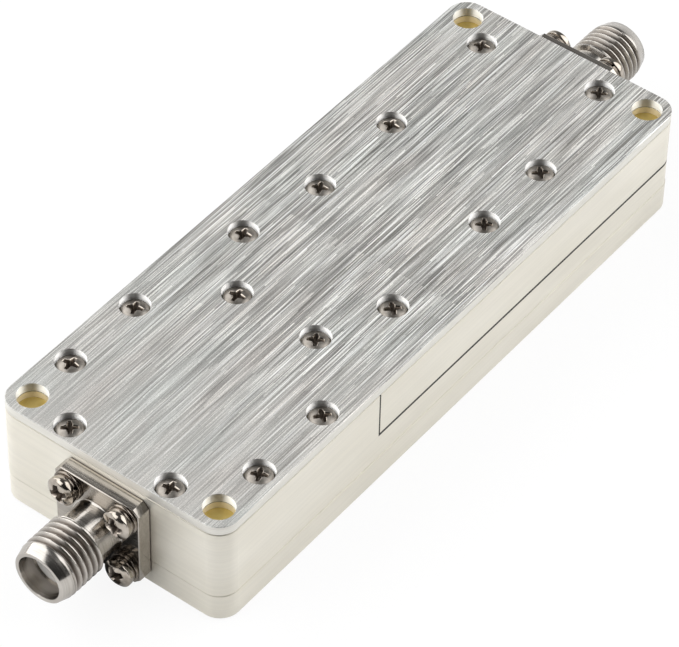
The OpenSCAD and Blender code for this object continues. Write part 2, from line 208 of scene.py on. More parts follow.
def soft_box(name, place, size, power):
    lamp = bpy.data.lights.new(name, "AREA")
    lamp.shape = "RECTANGLE"
    lamp.size, lamp.size_y = size
    lamp.energy = power
    made = bpy.data.objects.new(name, lamp)
    made.location = place
    made.rotation_mode = "QUATERNION"
    made.rotation_quaternion = (-Vector(place)).to_track_quat("-Z", "Y")
    bpy.context.scene.collection.objects.link(made)


# The boxes stand left and right of the line of sight, so both sides of each pocket wall shine
soft_box("left_box", place=(-0.229, 0.397, 0.386), size=(1.3, 0.7), power=6.4)
soft_box("right_box", place=(0.316, -0.332, 0.386), size=(0.62, 0.65), power=2.9)


# Plated housing. The floor and walls are milled from one bar and silver plated to a satin cream.
# The short cover and the long block are milled and plated the same way, and meet it without a step.
def shader_group(name, inputs, outputs):
    """An empty group with its sockets, and its two end nodes."""
    tree = bpy.data.node_groups.new(name, "ShaderNodeTree")
    for label, kind, value in inputs:
        socket = tree.interface.new_socket(name=label, in_out="INPUT", socket_type=kind)
        socket.default_value = value
    for label, kind in outputs:
        tree.interface.new_socket(name=label, in_out="OUTPUT", socket_type=kind)
    return tree, tree.nodes.new("NodeGroupInput"), tree.nodes.new("NodeGroupOutput")


def noise(tree, vector, scale, detail, roughness):
    made = tree.nodes.new("ShaderNodeTexNoise")
    feed(tree, made, {"Vector": vector, "Scale": scale, "Detail": detail, "Roughness": roughness})
    return made.outputs[0]


# Streaks: the parallel scratches of a brush, a mill or a lathe, with odd deep and bright ones
streaks, start, end = shader_group(
    "tool_streaks",
    [("Vector", "NodeSocketVector", (0, 0, 0)), ("Stretch", "NodeSocketVector", (100, 3000, 3000))],
    [("Grain", "NodeSocketFloat"), ("Bright", "NodeSocketFloat"), ("Deep", "NodeSocketFloat")])
along = vector_node(streaks, "MULTIPLY", start.outputs["Vector"], start.outputs["Stretch"])
grain = noise(streaks, along, scale=1.0, detail=1.0, roughness=0.7)
odd = noise(streaks, along, scale=0.83, detail=1.0, roughness=0.7)
feed(streaks, end, {"Grain": spread(streaks, grain, 0.36, 0.64),
                    "Bright": spread(streaks, odd, 0.59, 0.66),
                    "Deep": spread(streaks, odd, 0.41, 0.34)})

# Clouding: slow uneven patches of tone in a plated or handled surface
clouding, start, end = shader_group(
    "clouding",
    [("Vector", "NodeSocketVector", (0, 0, 0)), ("Size", "NodeSocketVector", (120, 120, 120))],
    [("Patches", "NodeSocketFloat")])
sized = vector_node(clouding, "MULTIPLY", start.outputs["Vector"], start.outputs["Size"])
soft = noise(clouding, sized, scale=1.0, detail=3.0, roughness=0.5)
feed(clouding, end, {"Patches": spread(clouding, soft, 0.3, 0.7)})


def use_group(tree, group, vector, **values):
    """The outputs of a group that looks up its pattern at a place."""
    made = tree.nodes.new("ShaderNodeGroup")
    made.node_tree = group
    feed(tree, made, {"Vector": vector, **values})
    return made.outputs


def patches(tree, vector, size):
    return use_group(tree, clouding, vector, Size=size)["Patches"]


def between(tree, factor, low, high):
    """Mixes two numbers."""
    return mixed(tree, factor, low, high, kind="FLOAT")


def shaded_by(tree, factor, colour, share):
    return mixed(tree, factor, colour, share, blend="MULTIPLY")


def blur_along(tree, shader, axis, amount):
    """Blurs what a surface mirrors more along one axis, as the marks of a tool do."""
    direction = tree.nodes.new("ShaderNodeCombineXYZ")
    direction.inputs[axis].default_value = 1
    feed(tree, shader, {"Tangent": direction.outputs[0], "Anisotropic": amount})


# The outer faces are satin. The corner holes were bored after milling, and their walls are tinted
# gold, a painted reflection of the gold floors below them.
housing_corner = 2.1 * MM
bored_inset = 0.4 * MM
housing_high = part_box("lower_housing")[1]
plating, tree, shader = new_material("silver_plating")
where = object_place(tree)
milled = use_group(tree, streaks, where, Stretch=(80, 80, 3200))["Grain"]
tarnish = patches(tree, where, (60, 160, 200))
past_corner = vector_node(tree, "SUBTRACT", vector_node(tree, "ABSOLUTE", where),
                          (housing_high.x - housing_corner, housing_high.y - housing_corner, 1))
outward = vector_node(tree, "LENGTH", vector_node(tree, "MAXIMUM", past_corner, (0, 0, 0)))
bored = math_node(tree, "LESS_THAN", outward, housing_corner - bored_inset)
tone = mixed(tree, tarnish, (0.725, 0.694, 0.614, 1), (0.77, 0.742, 0.67, 1))
tone = shaded_by(tree, 1.0, tone, between(tree, milled, 0.955, 1.0))
facing = tree.nodes.new("ShaderNodeSeparateXYZ")
tree.links.new(tree.nodes.new("ShaderNodeTexCoord").outputs["Normal"], facing.inputs[0])
sloped = spread(tree, math_node(tree, "ABSOLUTE", facing.outputs["Z"]), 0.15, 0.5)
satin = between(tree, sloped, between(tree, milled, 0.42, 0.47), 0.8)
# The bored walls of the corner holes take a gold tint, a painted reflection of the gold insert tops
feed(tree, shader, {"Base Color": mixed(tree, bored, tone, (0.97, 0.89, 0.69, 1)),
                    "Roughness": between(tree, bored, satin, 0.6), "Metallic": 0.95})
blur_along(tree, shader, "Z", amount=0.7)


def finish_node(node, material):
    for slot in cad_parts[node].material_slots:
        slot.material = material


for node in ("lower_housing", "near_cover", "upper_block"):
    finish_node(node, plating)


# Gasket. A thin black sheet, cut to the outline of the block and clamped under it.
# Its edge shows as the dark joint line on the long sides and on the output end.
def clouded(name, size, dark, light, metallic, rough):
    """Material that drifts between two colours in patches, and in roughness if that is a pair."""
    material, tree, shader = new_material(name)
    drift = patches(tree, object_place(tree), size)
    if isinstance(rough, tuple):
        rough = between(tree, drift, *rough)
    feed(tree, shader, {"Base Color": mixed(tree, drift, (*dark, 1), (*light, 1)),
                        "Metallic": metallic, "Roughness": rough})
    return material


gasket_black = clouded("gasket_black", (3000, 3000, 3000), (0.02, 0.018, 0.015),
                       (0.05, 0.045, 0.04), metallic=0, rough=0.8)
finish_node("joint_gasket", gasket_black)


# Face plate. Thin aluminium sheet with twenty holes, brushed lengthwise and bonded on last.
# It is cut again here, so that its edges and the rims of its holes have their small breaks.
def bump(tree, height, strength, distance):
    made = tree.nodes.new("ShaderNodeBump")
    feed(tree, made, {"Height": height, "Strength": strength, "Distance": distance})
    return made.outputs["Normal"]


def by_chance(tree, vector):
    made = tree.nodes.new("ShaderNodeTexWhiteNoise")
    tree.links.new(vector, made.inputs["Vector"])
    return made.outputs


# Hairlines: crisp lines side by side, each cut into lengths that start where no other does
hairlines, start, end = shader_group(
    "hairlines",
    [("Vector", "NodeSocketVector", (0, 0, 0)), ("Stretch", "NodeSocketVector", (120, 9000, 0))],
    [("Line", "NodeSocketFloat")])
along = vector_node(hairlines, "MULTIPLY", start.outputs["Vector"], start.outputs["Stretch"])
line = vector_node(hairlines, "FLOOR", vector_node(hairlines, "MULTIPLY", along, (0, 1, 1)))
shifted = vector_node(hairlines, "ADD", along, by_chance(hairlines, line)["Color"])
length = vector_node(hairlines, "ADD", vector_node(hairlines, "MULTIPLY", shifted, (1, 0, 0)),
                     (0.5, 0, 0))
one_length = vector_node(hairlines, "ADD", vector_node(hairlines, "FLOOR", length), line)
feed(hairlines, end, {"Line": by_chance(hairlines, one_length)["Value"]})

brushed_sheet, tree, shader = new_material("brushed_sheet")
where = object_place(tree)
brushed = use_group(tree, streaks, where, Stretch=(150, 12500, 12500))["Grain"]
scratches = use_group(tree, streaks, where, Stretch=(90, 12000, 12000))
hairline = use_group(tree, hairlines, where, Stretch=(160, 9000, 0))["Line"]
pitted = patches(tree, where, (7000, 10000, 10000))
worked = patches(tree, where, (45, 150, 150))
cast = patches(tree, where, (90, 260, 260))
ground = mixed(tree, cast, (0.54, 0.547, 0.526, 1), (0.57, 0.548, 0.521, 1))
ground = shaded_by(tree, 1.0, ground, between(tree, pitted, 0.8, 1.2))
along_lid = tree.nodes.new("ShaderNodeSeparateXYZ")
tree.links.new(where, along_lid.inputs[0])
# The brush bit less on the half towards the input
bite = spread(tree, along_lid.outputs["X"], -36 * MM, -4 * MM)
depth = math_node(tree, "MULTIPLY", between(tree, worked, 0.6, 1.0), between(tree, bite, 0.3, 1.0))
lines = math_node(tree, "MULTIPLY", between(tree, brushed, 0.42, 1.5),
                  between(tree, hairline, 0.55, 1.5))
tone = shaded_by(tree, depth, ground, lines)
for kind, colour in (("Bright", (1.0, 1.0, 0.99, 1)), ("Deep", (0.2, 0.19, 0.17, 1))):
    tone = mixed(tree, math_node(tree, "MULTIPLY", scratches[kind], depth), tone, colour)
across = tree.nodes.new("ShaderNodeTangent")
across.direction_type = "RADIAL"
across.axis = "X"
feed(tree, shader, {"Base Color": tone, "Roughness": between(tree, brushed, 0.42, 0.54),
                    "Metallic": 0.8, "Anisotropic": 0.75, "Tangent": across.outputs[0],
                    "Normal": bump(tree, brushed, strength=0.3, distance=0.01 * MM)})


seam_gap = 0.002 * MM


def islands(node):
    """The centre and the half size of each separate solid in a node."""
    work = bmesh.new()
    work.from_mesh(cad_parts[node].data)
    bmesh.ops.remove_doubles(work, verts=work.verts, dist=seam_gap)
    left, found = set(work.verts), []
    while left:
        stack, group = [left.pop()], []
        while stack:
            vert = stack.pop()
            group.append(vert.co.copy())
            for edge in vert.link_edges:
                other = edge.other_vert(vert)
                if other in left:
                    left.remove(other)
                    stack.append(other)
        low = Vector([min(c[i] for c in group) for i in range(3)])
        high = Vector([max(c[i] for c in group) for i in range(3)])
        found.append(((low + high) / 2, (high - low) / 2))
    work.free()
    return sorted(found, key=lambda pair: (round(pair[0].x, 5), round(pair[0].y, 5), pair[0].z))


def round_loop(centre, radius, count):
    return [(centre[0] + radius * math.cos(math.tau * i / count),
             centre[1] + radius * math.sin(math.tau * i / count)) for i in range(count)]


def corner_loop(half_l, half_w, radius, steps):
    """Rounded rectangle, anticlockwise."""
    loop = []
    for turn, (sx, sy) in enumerate(((1, 1), (-1, 1), (-1, -1), (1, -1))):
        for i in range(steps + 1):
            angle = math.pi / 2 * (turn + i / steps)
            loop.append((sx * (half_l - radius) + radius * math.cos(angle),
                         sy * (half_w - radius) + radius * math.sin(angle)))
    return loop


break_steps = 3


def edge_profile(low, high, break_low, break_high):
    """Inset and height of each ring of a wall whose two edges are rounded."""
    turns = [math.pi / 2 * i / break_steps for i in range(break_steps + 1)]
    return ([(break_low * (1 - math.sin(turn)), low + break_low * (1 - math.cos(turn)))
             for turn in turns]
            + [(break_high * (1 - math.cos(turn)), high - break_high * (1 - math.sin(turn)))
               for turn in turns])


def cut_sheet(outer, holes, profile):
    """Mesh of a flat piece with rounded rims.

    outer and each of holes give a closed loop for an inset of the outline, or of the metal round
    a hole.
    """
    verts, faces, caps = [], [], []
    just_inside = 0.999
    for index, loop_at in enumerate([outer] + holes):
        rings = []
        for inset, height in profile:
            loop = loop_at(inset)
            rings.append(list(range(len(verts), len(verts) + len(loop))))
            verts.extend((x, y, height) for x, y in loop)
        for below, above in zip(rings, rings[1:]):
            for i in range(len(below)):
                j = (i + 1) % len(below)
                quad = (below[i], below[j], above[j], above[i])
                faces.append(quad if index == 0 else quad[::-1])
        caps.append((rings[0], rings[-1]))
    for which in (0, 1):
        ids = [i for cap in caps for i in cap[which]]
        flat = [Vector(verts[i][:2]) for i in ids]
        edges, first = [], 0
        for cap in caps:
            count = len(cap[which])
            edges += [(first + i, first + (i + 1) % count) for i in range(count)]
            first += count
        centres = [sum((Vector(verts[i][:2]) for i in cap[which]), Vector((0, 0))) / len(cap[which])
                   for cap in caps[1:]]
        reach = [(Vector(verts[cap[which][0]][:2]) - centre).length
                 for cap, centre in zip(caps[1:], centres)]
        tri = geometry.delaunay_2d_cdt(flat, edges, [], 1, 1e-9)[2]
        for corners in tri:
            middle = sum((flat[i] for i in corners), Vector((0, 0))) / 3
            if any((middle - c).length < r * just_inside for c, r in zip(centres, reach)):
                continue
            face = tuple(ids[i] for i in corners)
            faces.append(face if which else face[::-1])
    return verts, faces


weld_gap = 1e-8


def solid_piece(name, verts, faces, material, smooth_deg=35, flat_caps=False, painted_shade=()):
    mesh = bpy.data.meshes.new(name)
    mesh.from_pydata(verts, [], faces)
    # A painted shade value for each vertex, if given, is stored on the mesh for its material
    if painted_shade:
        layer = mesh.attributes.new("painted_shade", "FLOAT", "POINT")
        layer.data.foreach_set("value", painted_shade)
    work = bmesh.new()
    work.from_mesh(mesh)
    bmesh.ops.remove_doubles(work, verts=work.verts, dist=weld_gap)
    bmesh.ops.recalc_face_normals(work, faces=work.faces)
    work.to_mesh(mesh)
    work.free()
    mesh.shade_smooth()
    mesh.set_sharp_from_angle(angle=math.radians(smooth_deg))
    if flat_caps:
        for polygon in mesh.polygons:
            polygon.use_smooth = len(polygon.vertices) > 3
    mesh.materials.append(material)
    return new_object(name, mesh)


plate_low, plate_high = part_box("face_plate")
plate_middle = (plate_low + plate_high) / 2
plate_half_l, plate_half_w = plate_high.x - plate_middle.x, plate_high.y - plate_middle.y
plate_corner = 2.1 * MM
plate_corner_steps = 12
plate_break = 0.07 * MM
bond_line = 0.08 * MM
rim_share = 0.6
hole_r = 1.5 * MM
hole_sides = 48
lid_places = [centre for node in ("cover_screws", "block_screws") for centre, _ in islands(node)]
corner_places = [centre for centre, _ in islands("corner_inserts")]


def hole_at(centre, radius, share=1):
    return lambda inset: round_loop(centre, radius + inset * share, hole_sides)


def plate_outline(inset):
    loop = corner_loop(plate_half_l - inset, plate_half_w - inset, plate_corner - inset,
                       plate_corner_steps)
    return [(x + plate_middle.x, y + plate_middle.y) for x, y in loop]


verts, faces = cut_sheet(
    plate_outline,
    [hole_at(centre, hole_r, rim_share) for centre in lid_places + corner_places],
    edge_profile(plate_low.z, plate_high.z, bond_line, plate_break))
plate = solid_piece("brushed_plate", verts, faces, brushed_sheet, flat_caps=True)


def edge_metal(name, dark, light, rough, blur):
    """A wall of the sheet, with the lines of the tool that cut it."""
    material, tree, shader = new_material(name)
    cut = use_group(tree, streaks, object_place(tree), Stretch=(200, 200, 9000))["Grain"]
    feed(tree, shader, {"Base Color": mixed(tree, cut, dark, light), "Metallic": 0.95,
                        "Roughness": rough})
    blur_along(tree, shader, "Z", blur)
    return material


milled_edge = edge_metal("milled_edge", (0.68, 0.665, 0.62, 1), (0.74, 0.725, 0.68, 1),
                         rough=0.5, blur=0.5)
reamed_wall = edge_metal("reamed_wall", (0.93, 0.92, 0.89, 1), (0.99, 0.985, 0.97, 1),
                         rough=0.62, blur=1.0)
# The plate's corner hole walls are tinted gold, a painted reflection of the gold insert tops below
gold_reflection_wall = edge_metal("gold_reflection_wall", (0.95, 0.93, 0.86, 1), (0.99, 0.98, 0.94, 1),
                       rough=0.62, blur=1.0)
for material in (milled_edge, reamed_wall, gold_reflection_wall, gasket_black):
    plate.data.materials.append(material)
milled_slot, lid_hole_slot, corner_hole_slot, bond_slot = 1, 2, 3, 4
flat_above, wall_below = 0.98, 0.2
for polygon in plate.data.polygons:
    spot, upward = polygon.center, abs(polygon.normal.z)
    nearest = min(corner_places + lid_places, key=lambda centre: (centre.xy - spot.xy).length)
    beside = upward < flat_above and (nearest.xy - spot.xy).length < hole_r + 2 * plate_break
    if upward < wall_below:
        hole_slot = corner_hole_slot if nearest in corner_places else lid_hole_slot
        polygon.material_index = hole_slot if beside else milled_slot
    if beside and spot.z < plate_low.z + bond_line:
        polygon.material_index = bond_slot
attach(plate, "root")
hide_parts("face_plate")


# Corner inserts. Turned brass pillars, pressed into the housing, whose closed tops show in the
# corner holes. Their satin gold tone is a thin conversion coating, a little uneven.
insert_gold = clouded("insert_gold", (900, 900, 300), (0.62, 0.48, 0.15), (0.74, 0.60, 0.23),
                      metallic=0.5, rough=0.6)
finish_node("corner_inserts", insert_gold)


# Screw metal. The small screws are cold headed from stainless wire. Those in the lid are rougher,
# and their darker tone is painted shade from their pockets. Those on the flanges were polished with
# the jacks. Their washers are spring steel, darkened with painted shade where they sit under the
# heads.
screw_patch = (1500, 1500, 1500)
# The lid screws' darker tone is painted shade from their pockets; their roughness is their own
dull_shaded_steel = clouded("dull_shaded_steel", screw_patch, (0.22, 0.20, 0.175), (0.40, 0.37, 0.335),
                     metallic=1.0, rough=(0.3, 0.4))
bright_steel = clouded("bright_steel", screw_patch, (0.30, 0.265, 0.225), (0.50, 0.455, 0.40),
                       metallic=1.0, rough=(0.08, 0.18))
# The washers' dark tone is painted shade from under the screw heads
washer_steel = clouded("washer_steel", screw_patch, (0.13, 0.11, 0.09), (0.32, 0.28, 0.24),
                       metallic=1.0, rough=(0.14, 0.26))
# The recesses are darkened with painted shade
shaded_recess_metal = clouded("shaded_recess_metal", (2500, 2500, 2500), (0.12, 0.1, 0.085), (0.36, 0.32, 0.28),
                       metallic=0.95, rough=0.28)

head_sides = 40
head_rim = 0.07 * MM
dome_steps = 8
dome_share = 0.94
recess_break = 0.03 * MM
break_angle = math.radians(38)


def headed_screw(name, radius, edge_h, dome_h, shank_r, shank_l, cross, metal):
    """One screw that stands on z = 0. cross is the reach and half width of its recess's wings."""
    top = edge_h + dome_h
    dome_r = (radius ** 2 + dome_h ** 2) / (2 * dome_h)
    # the shank with its chamfered tip, then the head's seat, its rounded rims and its dome
    outline = [(0, -shank_l), (shank_r * 0.8, -shank_l), (shank_r, -shank_l + shank_r * 0.2)]
    outline += [(shank_r, 0), (radius - head_rim, 0), (radius - head_rim * 0.3, head_rim * 0.3)]
    outline += [(radius, head_rim), (radius, edge_h - head_rim)]
    outline.append((radius - head_rim * 0.25, edge_h - head_rim * 0.2))
    rim_angle = math.asin(radius / dome_r)
    for i in range(1, dome_steps):
        angle = rim_angle * (1 - i / dome_steps) * dome_share
        outline.append((dome_r * math.sin(angle), top - dome_r + dome_r * math.cos(angle)))
    outline.append((0, top))
    verts, faces = revolved(outline, head_sides)
    body = solid_piece(name, verts, faces, metal)
    cutter = cross_cutter(radius, top, cross)
    cut = body.modifiers.new("recess", "BOOLEAN")
    cut.operation = "DIFFERENCE"
    cut.solver = "EXACT"
    cut.material_mode = "TRANSFER"
    cut.object = cutter
    soften = body.modifiers.new("soften", "BEVEL")
    soften.width = recess_break
    soften.segments = 2
    soften.limit_method = "ANGLE"
    soften.angle_limit = break_angle
    seen = body.evaluated_get(bpy.context.evaluated_depsgraph_get())
    flat = bpy.data.meshes.new_from_object(seen)
    for helper in (body, cutter):
        bpy.data.objects.remove(helper)
    flat.name = name
    return new_object(name, flat)


def revolved(outline, sides):
    """Surface turned about Z from (radius, height) points. Points on the axis become poles."""
    verts, faces, rings = [], [], []
    for radius, height in outline:
        if radius < 1e-9:
            rings.append([len(verts)])
            verts.append((0, 0, height))
        else:
            rings.append(list(range(len(verts), len(verts) + sides)))
            verts += [(x, y, height) for x, y in round_loop((0, 0), radius, sides)]
    for below, above in zip(rings, rings[1:]):
        for i in range(sides):
            j = (i + 1) % sides
            quad = [below[i % len(below)], below[j % len(below)],
                    above[j % len(above)], above[i % len(above)]]
            face = list(dict.fromkeys(quad))
            if len(face) > 2:
                faces.append(face)
    return verts, faces


def cross_cutter(radius, top, cross):
    """The punch of a cross recess: four wings, narrow at the tip and flared at the rubbed mouth."""
    wing_l, wing_w = cross
    tip_l, tip_w = 0.5 * wing_l, 0.6 * wing_w
    throat = 1.15 * wing_w
    wing_end = 0.9
    rub, over, depth, land = 0.1 * MM, 0.1 * MM, 0.62 * radius, 0.05 * radius
    flare = rub + over
    verts = []
    for height, length, width, inner in (
            (top - depth, tip_l, tip_w, tip_w),
            (top - rub - land, wing_l, wing_w, throat),
            (top + over, wing_l + flare, wing_w + flare * 0.4, throat + flare * 1.1)):
        for turn in range(4):
            c, s = math.cos(turn * math.pi / 2), math.sin(turn * math.pi / 2)
            for x, y in ((inner, -inner), (length, -width * wing_end), (length, width * wing_end)):
                verts.append((c * x - s * y, s * x + c * y, height))
    count = len(verts) // 3
    faces = [tuple(range(count))[::-1]]
    faces += [(low + i, low + (i + 1) % count, low + (i + 1) % count + count, low + i + count)
              for low in (0, count) for i in range(count)]
    faces.append(tuple(range(2 * count, 3 * count)))
    # The recess walls take the metal darkened with painted shade, and the rubbed mouth takes bright
    # steel
    punch = solid_piece("recess_punch", verts, faces, shaded_recess_metal)
    punch.data.materials.append(bright_steel)
    for polygon in punch.data.polygons:
        polygon.material_index = int(polygon.center.z > top - rub)
    return punch


# One tree sets a finished piece at every place of its kind, each turned to its given angle as the
# real ones are
def placing_tree():
    tree = bpy.data.node_groups.new("set_in_places", "GeometryNodeTree")
    tree.is_modifier = True
    for label, kind in (("Places", "NodeSocketGeometry"), ("Piece", "NodeSocketObject"),
                        ("Finish", "NodeSocketMaterial"), ("Lean", "NodeSocketRotation")):
        tree.interface.new_socket(name=label, in_out="INPUT", socket_type=kind)
    tree.interface.new_socket(name="Pieces", in_out="OUTPUT", socket_type="NodeSocketGeometry")
    new, link = tree.nodes.new, tree.links.new
    start, end = new("NodeGroupInput"), new("NodeGroupOutput")
    piece = new("GeometryNodeObjectInfo")
    link(start.outputs["Piece"], piece.inputs["Object"])
    turn = new("GeometryNodeInputNamedAttribute")
    turn.data_type = "FLOAT"
    turn.inputs["Name"].default_value = "turn"
    spin = new("FunctionNodeAxisAngleToRotation")
    spin.inputs["Axis"].default_value = (0, 0, 1)
    link(turn.outputs["Attribute"], spin.inputs["Angle"])
    both = new("FunctionNodeRotateRotation")
    both.rotation_space = "LOCAL"
    link(start.outputs["Lean"], both.inputs["Rotation"])
    link(spin.outputs["Rotation"], both.inputs["Rotate By"])
    set_in = new("GeometryNodeInstanceOnPoints")
    link(start.outputs["Places"], set_in.inputs["Points"])
    link(piece.outputs["Geometry"], set_in.inputs["Instance"])
    link(both.outputs[0], set_in.inputs["Rotation"])
    real = new("GeometryNodeRealizeInstances")
    link(set_in.outputs["Instances"], real.inputs["Geometry"])
    finish = new("GeometryNodeSetMaterial")
    link(real.outputs["Geometry"], finish.inputs["Geometry"])
    slot = new("GeometryNodeInputMaterialIndex")
    first = new("FunctionNodeCompare")
    first.data_type = "INT"
    first.operation = "EQUAL"
    link(slot.outputs[0], first.inputs[2])
    link(first.outputs[0], finish.inputs["Selection"])
    link(start.outputs["Finish"], finish.inputs["Material"])
    link(finish.outputs["Geometry"], end.inputs["Pieces"])
    return tree


set_in_places = placing_tree()


def socket_id(tree, label):
    return next(item.identifier for item in tree.interface.items_tree
                if item.name == label and item.in_out == "INPUT")


def set_pieces(name, piece, places, turns, finish, lean=(0, 0, 0)):
    """A plain mesh of one piece at each place, turned about its own axis."""
    mesh = bpy.data.meshes.new(name)
    mesh.from_pydata(places, [], [])
    turn = mesh.attributes.new("turn", "FLOAT", "POINT")
    turn.data.foreach_set("value", [math.radians(t) for t in turns])
    carrier = new_object(name + "_places", mesh)
    modifier = carrier.modifiers.new("places", "NODES")
    modifier.node_group = set_in_places
    modifier[socket_id(set_in_places, "Piece")] = piece
    modifier[socket_id(set_in_places, "Finish")] = finish
    modifier[socket_id(set_in_places, "Lean")] = lean
    carrier.update_tag()
    seen = carrier.evaluated_get(bpy.context.evaluated_depsgraph_get())
    flat = bpy.data.meshes.new_from_object(seen)
    flat.name = name
    carrier.modifiers.remove(modifier)
    bpy.data.objects.remove(carrier)
    bpy.data.objects.remove(piece)
    return new_object(name, flat)


# Lid screws. Sixteen small domed screws with a cross recess, six short and ten long, sunk in their
# pockets. Each stops where its thread pulled tight, so their crosses stand at sixteen angles.
lid_head_r = 1.3 * MM
lid_edge_h = 1.23 * MM
lid_dome_h = 0.27 * MM
screw_shank_r = 0.8 * MM
lid_cross = (0.78 * MM, 0.17 * MM)
seat_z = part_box("corner_inserts")[1].z
for name, node, turns in (
        ("cover_screw_set", "cover_screws", (12, 40, 25, 5, 52, 20)),
        ("block_screw_set", "block_screws", (30, 8, 15, 48, 22, 35, 10, 42, 18, 27))):
    shank_l = seat_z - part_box(node)[0].z
    # The lid screws take the steel darkened with the painted shade of their pockets
    pattern = headed_screw(name + "_one", lid_head_r, lid_edge_h, lid_dome_h, screw_shank_r,
                           shank_l, lid_cross, dull_shaded_steel)
    places = [(centre.x, centre.y, seat_z) for centre, _ in islands(node)]
    made = set_pieces(name, pattern, places, turns, dull_shaded_steel)
    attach(made, "root")
    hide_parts(node)


# Jacks. Each shell is turned from stainless bar with its square flange milled on, then threaded and
# passivated. The thread is a right-hand helix between a plain land behind and the lead in front.
# Painted shade: a value stored on each vertex of a shell, which darkens it where shade falls
def painted_shade_mask(tree):
    stored = tree.nodes.new("ShaderNodeAttribute")
    stored.attribute_name = "painted_shade"
    return stored.outputs["Fac"]


jack_steel, tree, shader = new_material("jack_steel")
where = object_place(tree)
turned = use_group(tree, streaks, where, Stretch=(9000, 60, 60))["Grain"]
tone = mixed(tree, patches(tree, where, (500, 260, 260)),
             (0.42, 0.39, 0.355, 1), (0.54, 0.515, 0.48, 1))
tone = shaded_by(tree, 1.0, tone, between(tree, turned, 0.88, 1.04))
# The thread's valleys and the mouth's bore are darkened to dark brown with painted shade, and made
# rougher
painted_shade = math_node(tree, "MULTIPLY", painted_shade_mask(tree), 0.85)
polish = between(tree, turned, 0.17, 0.24)
feed(tree, shader, {"Base Color": mixed(tree, painted_shade, tone, (0.10, 0.075, 0.058, 1)),
                    "Roughness": between(tree, painted_shade, polish, 0.5), "Metallic": 1.0,
                    "Normal": bump(tree, turned, strength=0.12, distance=0.006 * MM)})
blur_along(tree, shader, "X", amount=0.8)

flange_steel, tree, shader = new_material("flange_steel")
where = object_place(tree)
lapped = use_group(tree, streaks, where, Stretch=(4000, 150, 4000))["Grain"]
tone = mixed(tree, patches(tree, where, (500, 260, 260)),
             (0.34, 0.31, 0.275, 1), (0.47, 0.44, 0.40, 1))
tone = shaded_by(tree, 1.0, tone, between(tree, lapped, 0.9, 1.04))
# The flange's back edge, against the housing, is darkened with painted shade
feed(tree, shader, {"Base Color": mixed(tree, painted_shade_mask(tree), tone, (0.07, 0.05, 0.04, 1)),
                    "Roughness": between(tree, lapped, 0.14, 0.22), "Metallic": 1.0})

flange_t = 1.57 * MM
flange_half = 9.53 / 2 * MM
flange_cut = 0.65 * MM
flange_hole_pitch = 6.35 * MM
flange_hole_r = 0.86 * MM
flange_bore_r = 2.3 * MM
flange_break = 0.09 * MM
# Height of the band of painted shade along the flange's back edge
joint_painted_shade = 0.13 * MM
neck_r = 2.65 * MM
neck_fillet = 0.25 * MM
neck_sink = 0.01 * MM
neck_fillet_steps = 4
thread_r = 3.1 * MM
thread_pitch = 0.7056 * MM
thread_depth = 0.36 * MM
groove_mouth = 0.6 * MM
groove_root = 0.08 * MM
thread_start = 4.47 * MM
thread_end = 8.0 * MM
thread_run_out = 0.35 * MM
thread_run_in = 0.2 * MM
shoulder_r = 2.98 * MM
shoulder_l = 0.1 * MM
undercut_l = 0.3 * MM
lead_blend = 0.15 * MM
lead_r = 3.04 * MM
lead_top = 8.45 * MM
mouth_outer_r = 2.7 * MM
mouth_r = 2.3 * MM
mouth_floor = 7.63 * MM
mouth_break = 0.07 * MM
# Strength of the painted shade on the bore inside the mouth
mouth_painted_shade = 0.15
core_r = 2.07 * MM
foot_gap = 0.05 * MM
foot_r = flange_bore_r + 0.2 * MM
jack_reach = 9.53 * MM
jack_sides = 144
thread_rows = 200
tolerance = 0.001 * MM


def share_of(value, whole):
    return min(1, max(0, value / whole))


def thread_radius(height, angle):
    """Radius of the threaded stretch at a height and an angle."""
    phase = (height - thread_end) / thread_pitch - angle / math.tau
    from_groove = abs(phase - math.floor(phase) - 0.5) * thread_pitch
    open_half, root_half = groove_mouth / 2, groove_root / 2
    deep = share_of(open_half - from_groove, open_half - root_half)
    run_out = share_of(height - thread_start, thread_run_out)
    run_in = share_of(thread_end + thread_run_in - height, thread_run_in)
    narrowed = share_of(height - thread_end + lead_blend, 2 * lead_blend)
    blank = thread_r + (lead_r - thread_r) * narrowed
    return blank - thread_depth * deep * min(run_out, run_in)


def jack_rings():
    """Closed outline of the shell as (radius, height). None takes the thread's own radius."""
    rings = [(core_r, foot_gap), (foot_r, foot_gap), (foot_r, flange_t / 2)]
    for i in range(neck_fillet_steps + 1):
        angle = math.pi / 2 * i / neck_fillet_steps
        rings.append((neck_r + neck_fillet * (1 - math.sin(angle)),
                      flange_t - neck_sink + neck_fillet * (1 - math.cos(angle))))
    rings += [(neck_r, thread_start - undercut_l), (shoulder_r, thread_start - shoulder_l),
              (thread_r, thread_start)]
    threaded = thread_end + thread_run_in - thread_start
    rings += [(None, thread_start + threaded * i / thread_rows) for i in range(1, thread_rows + 1)]
    rings += [(lead_r, lead_top - mouth_break), (lead_r - 0.4 * mouth_break, lead_top),
              (mouth_outer_r + 0.03 * MM, jack_reach - mouth_break),
              (mouth_outer_r - 0.02 * MM, jack_reach - 0.3 * mouth_break),
              (mouth_outer_r - mouth_break, jack_reach), (mouth_r + mouth_break, jack_reach),
              (mouth_r + 0.3 * mouth_break, jack_reach - 0.3 * mouth_break),
              (mouth_r, jack_reach - mouth_break), (mouth_r, mouth_floor), (core_r, mouth_floor)]
    return rings


def on_face(point, face_x, axis_z, outward):
    """Turns a point, its height along the jack's axis, onto the input (-1) or output (+1) face."""
    return (face_x + outward * point[2], outward * point[0], axis_z + point[1])


def jack_stand(side):
    """Face, axis height and direction of a jack, from its own solid."""
    low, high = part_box(side + "_jack_shell")
    outward = -1 if side == "input" else 1
    return (high.x if outward < 0 else low.x), (low.z + high.z) / 2, outward


